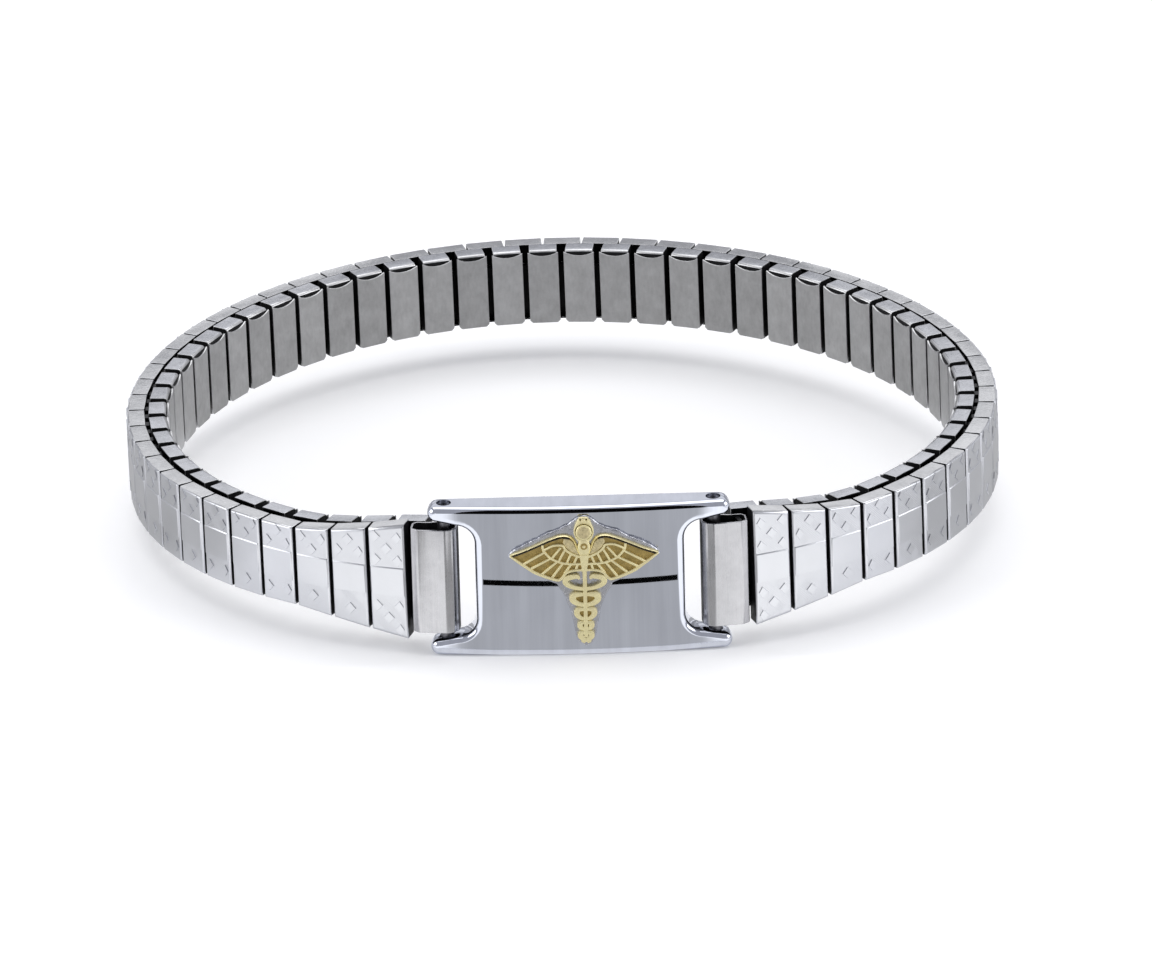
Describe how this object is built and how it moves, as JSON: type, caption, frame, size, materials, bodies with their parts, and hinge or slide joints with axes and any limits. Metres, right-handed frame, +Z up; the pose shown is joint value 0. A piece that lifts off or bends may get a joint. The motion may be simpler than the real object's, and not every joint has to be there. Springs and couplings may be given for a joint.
{
  "type": "medical alert bracelet",
  "caption": "Medical alert bracelet: a steel identity plate with a raised gold caduceus on a spring expansion band of small hollow steel links.",
  "frame": {"origin": "below the middle of the whole bracelet, on the surface that it rests on", "axes": "+X along the identity plate, to the right as it is looked at; +Y away from the plate towards the back of the band; +Z up, along the wearer's arm"},
  "size_m": [0.0596, 0.0545, 0.0108],
  "materials": {
    "plate_steel": "polished with faint vertical streaks",
    "gold": "pale gold, bright ribs over matt floors",
    "link_steel": "bright, with a fine pattern above and below a plain panel",
    "satin_steel": "satin",
    "pin_steel": "plain drawn wire"
  },
  "bodies": {
    "root": {"id_plate": "plate_steel", "emblem": "gold", "pin_left": "pin_steel", "pin_right": "pin_steel", "end_link_left": "link_steel", "end_link_right": "link_steel", "outer_links": "link_steel", "inner_links": "satin_steel", "staples": "pin_steel"}
  },
  "joints": []
}
